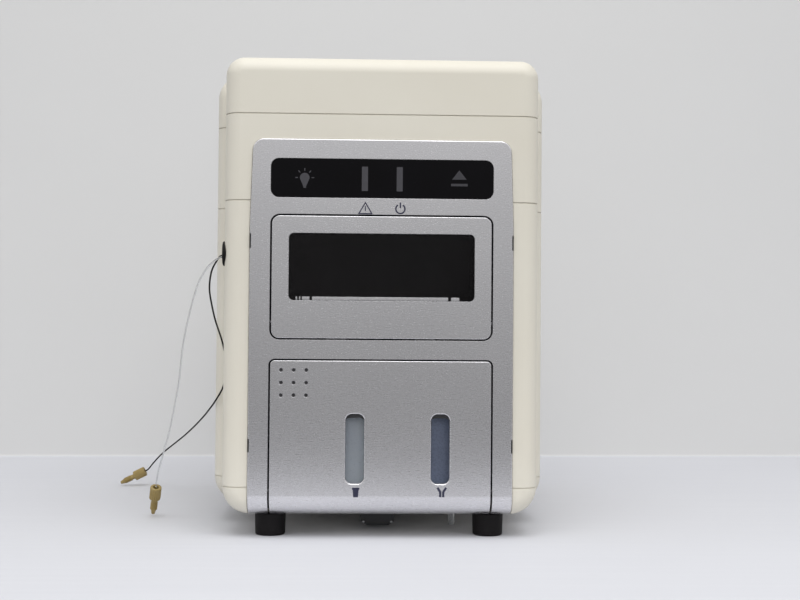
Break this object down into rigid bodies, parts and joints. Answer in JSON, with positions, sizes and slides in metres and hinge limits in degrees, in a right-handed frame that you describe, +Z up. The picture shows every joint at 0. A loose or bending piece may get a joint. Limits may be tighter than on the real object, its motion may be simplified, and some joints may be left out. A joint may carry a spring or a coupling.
{
  "type": "microplate autosampler",
  "caption": "Benchtop autosampler with a windowed plate door, a sliding plate stage, a bottle door with sight slots, a sampling head and tubing with fingertight fittings.",
  "frame": {"origin": "under the middle of the housing, on the surface that the feet stand on", "axes": "+Z up, -Y towards the front with the doors, +X to the right seen from the front"},
  "size_m": [0.4474, 0.4, 0.424],
  "materials": {
    "cream_plastic": "fine textured moulding",
    "silver_paint": "satin metallic paint",
    "black_plastic": "moulded",
    "black_gloss": "glossy",
    "tinted_window": "clear dark tint",
    "black_rubber": "matte",
    "bright_steel": "bright",
    "black_sheet": "dark powder coat",
    "machined_alloy": "machined",
    "milky_bottle": "translucent",
    "blue_bottle": "translucent",
    "tan_polymer": "satin",
    "clear_polymer": "clear",
    "green_board": "solder mask"
  },
  "bodies": {
    "housing": {"top_cover": "cream_plastic", "upper_shell": "cream_plastic", "left_side_panel": "cream_plastic", "right_side_panel": "cream_plastic", "base_pan": "cream_plastic", "rear_panel": "cream_plastic", "front_fascia": "silver_paint", "status_window": "black_gloss", "plate_door_pin_left": "bright_steel", "plate_door_pin_right": "bright_steel", "bottle_door_pin_left": "bright_steel", "bottle_door_pin_right": "bright_steel", "fascia_clip_upper_left": "black_plastic", "fascia_clip_lower_left": "black_plastic", "fascia_clip_upper_right": "black_plastic", "fascia_clip_lower_right": "black_plastic", "foot_front_left": "black_rubber", "foot_front_right": "black_rubber", "foot_rear_left": "black_rubber", "foot_rear_right": "black_rubber", "left_frame": "black_sheet", "right_frame": "black_sheet", "rear_bulkhead": "black_sheet", "deck_plate": "black_sheet", "stage_rail_left": "machined_alloy", "stage_rail_right": "machined_alloy", "stage_motor": "black_plastic", "head_rod_upper": "bright_steel", "head_rod_lower": "bright_steel", "head_motor": "black_plastic", "wash_cup": "machined_alloy", "bottle_tray": "black_plastic", "door_magnet": "bright_steel", "wash_pump": "black_plastic", "power_supply": "bright_steel", "control_board": "green_board", "fan_frame": "black_plastic", "fan_guard": "black_plastic", "power_inlet": "black_plastic", "data_port": "bright_steel", "drain_block": "black_plastic", "drain_spout": "clear_polymer", "port_gland": "black_rubber", "black_tube": "black_rubber", "clear_tube": "clear_polymer", "black_tube_nut": "tan_polymer", "clear_tube_nut": "tan_polymer"},
    "plate_door": {"plate_door": "silver_paint", "plate_door_window": "tinted_window"},
    "bottle_door": {"bottle_door": "silver_paint"},
    "plate_stage": {"plate_stage": "machined_alloy"},
    "head_carriage": {"head_carriage": "black_plastic"},
    "probe": {"probe_arm": "black_plastic", "probe_needle": "bright_steel"},
    "waste_bottle": {"waste_bottle": "milky_bottle", "waste_cap": "black_plastic"},
    "wash_bottle": {"wash_bottle": "blue_bottle", "wash_cap": "black_plastic"},
    "fan_rotor": {"fan_impeller": "black_plastic"},
    "power_switch": {"power_switch": "black_plastic"}
  },
  "joints": [
    {"name": "plate_stage_slide", "type": "slide", "parent": "housing", "child": "plate_stage", "axis": [0, -1, 0], "range_m": [0, 0.21]},
    {"name": "plate_door_hinge", "type": "hinge", "parent": "housing", "child": "plate_door", "pos_m": [0, -0.197, 0.189], "axis": [1, 0, 0], "range_deg": [0, 110]},
    {"name": "bottle_door_hinge", "type": "hinge", "parent": "housing", "child": "bottle_door", "pos_m": [0, -0.1945, 0.0414], "axis": [1, 0, 0], "range_deg": [0, 95]},
    {"name": "head_carriage_slide", "type": "slide", "parent": "housing", "child": "head_carriage", "axis": [-1, 0, 0], "range_m": [0, 0.136]},
    {"name": "probe_slide", "type": "slide", "parent": "head_carriage", "child": "probe", "axis": [0, 0, -1], "range_m": [0, 0.036]},
    {"name": "waste_bottle_lift", "type": "slide", "parent": "housing", "child": "waste_bottle", "axis": [0, 0, 1], "range_m": [0, 0.012]},
    {"name": "wash_bottle_lift", "type": "slide", "parent": "housing", "child": "wash_bottle", "axis": [0, 0, 1], "range_m": [0, 0.012]},
    {"name": "fan_spin", "type": "hinge", "parent": "housing", "child": "fan_rotor", "pos_m": [0.055, 0.1867, 0.33], "axis": [0, 1, 0], "continuous": true},
    {"name": "power_switch_rock", "type": "hinge", "parent": "housing", "child": "power_switch", "pos_m": [-0.07, 0.194, 0.1055], "axis": [1, 0, 0], "range_deg": [0, 18]}
  ],
  "couplings": [
    {"joint": "plate_door_hinge", "follows": "plate_stage_slide", "rad_per_m": 9.14}
  ]
}
